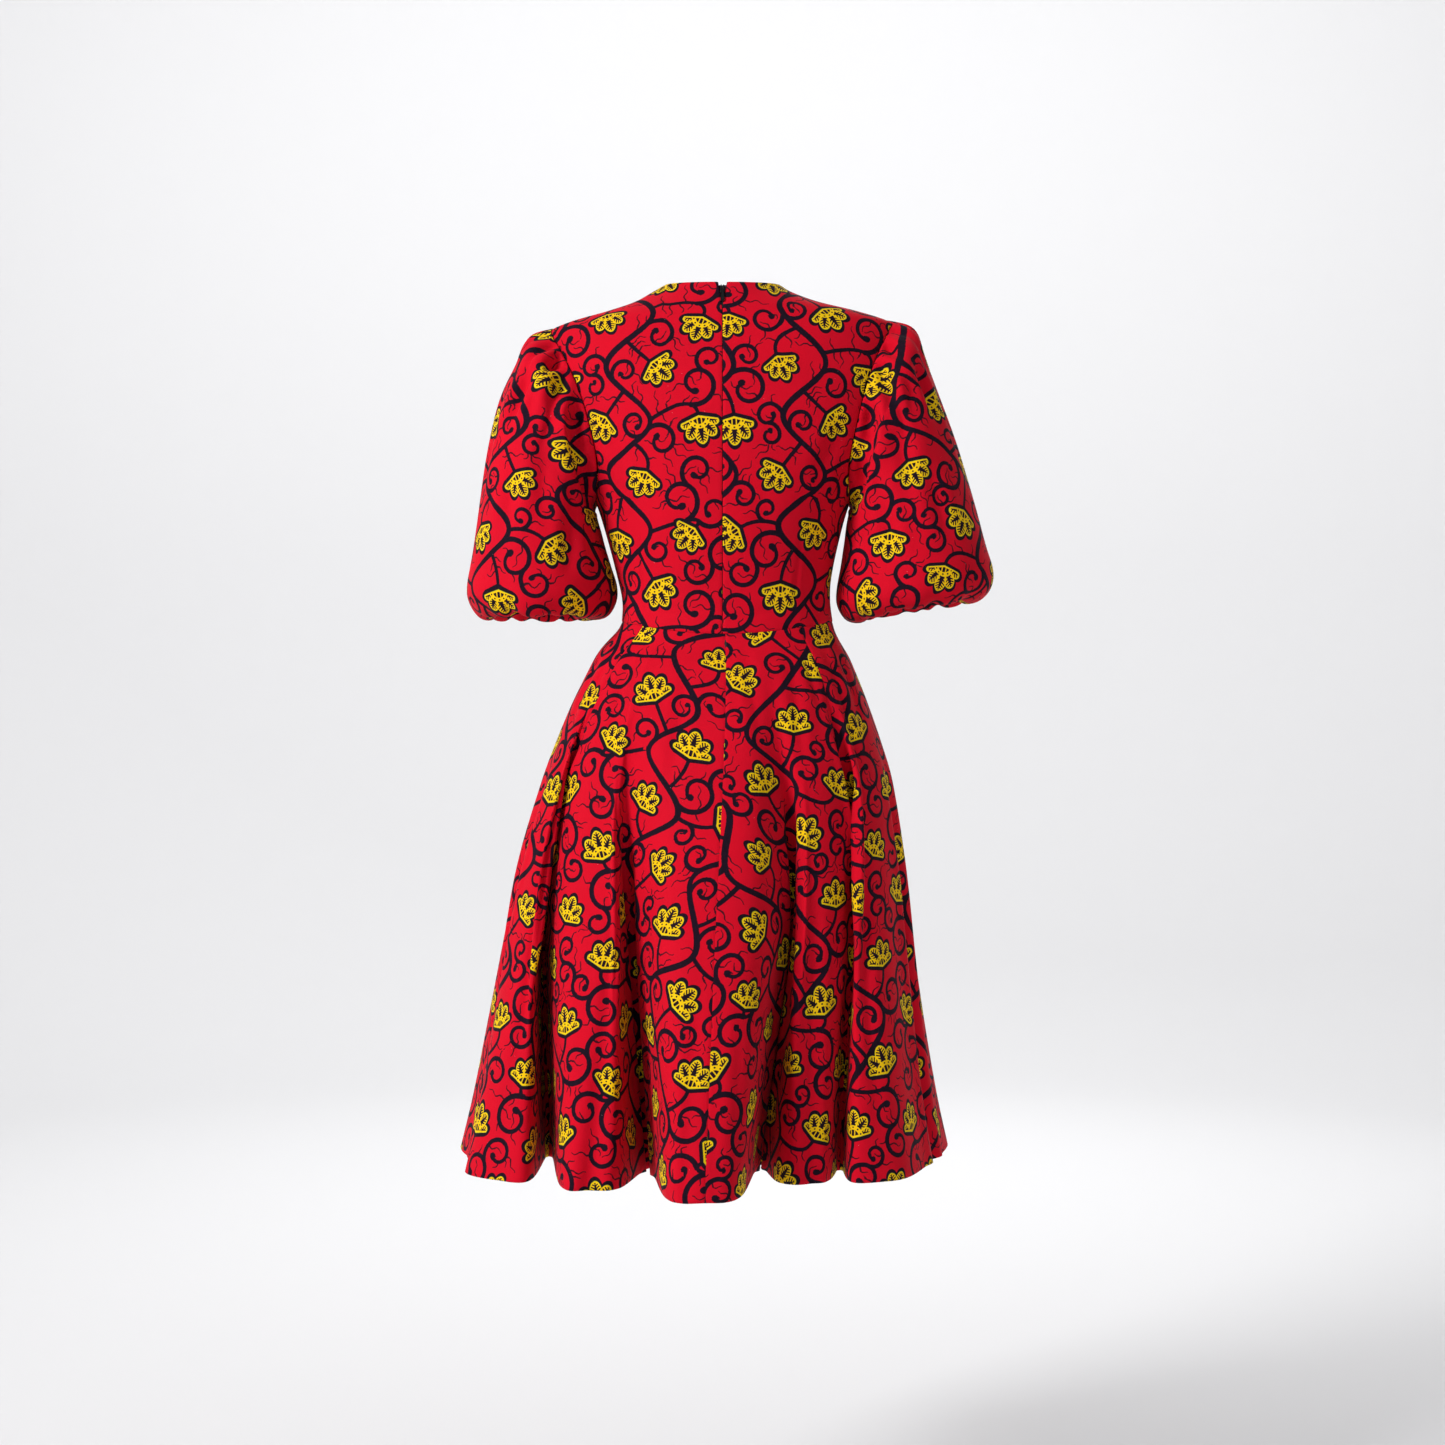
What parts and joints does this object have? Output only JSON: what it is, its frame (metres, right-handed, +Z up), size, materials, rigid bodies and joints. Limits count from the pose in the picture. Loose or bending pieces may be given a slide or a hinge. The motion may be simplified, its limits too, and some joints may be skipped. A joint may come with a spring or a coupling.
{
  "type": "ankara wax print dress",
  "caption": "Knee-length wax print cotton dress with a fitted bodice, puff sleeves, a flared gored skirt in deep folds and a concealed back zip",
  "frame": {"origin": "Midway between the two neck points, at their height, where the dress is held by the shoulders under it", "axes": "+Z runs up the dress, +Y out of its back, where the zip is, and +X towards its left sleeve"},
  "size_m": [0.5982, 0.5146, 0.9675],
  "materials": {
    "printed_cotton": "plain-woven cotton with a wax print of blossoms and vines in yellow and near-black on red",
    "zip_tape": "black woven polyester tape with a nylon coil",
    "zip_enamel": "black enamel on zinc"
  },
  "bodies": {
    "garment": {"bodice_back_left": "printed_cotton", "bodice_back_right": "printed_cotton", "bodice_front": "printed_cotton", "sleeve_left": "printed_cotton", "sleeve_right": "printed_cotton", "skirt_back_left": "printed_cotton", "skirt_back_right": "printed_cotton", "skirt_side_left": "printed_cotton", "skirt_side_right": "printed_cotton", "skirt_front": "printed_cotton", "zip_tape_left": "zip_tape", "zip_tape_right": "zip_tape", "zip_slider": "zip_enamel"},
    "pull_tab": {"zip_pull_tab": "zip_enamel"}
  },
  "joints": [
    {"name": "pull_tab_swing", "type": "hinge", "parent": "garment", "child": "pull_tab", "pos_m": [0, 0.05632, -0.01081], "axis": [1, 0, 0], "range_deg": [0, 160]}
  ]
}
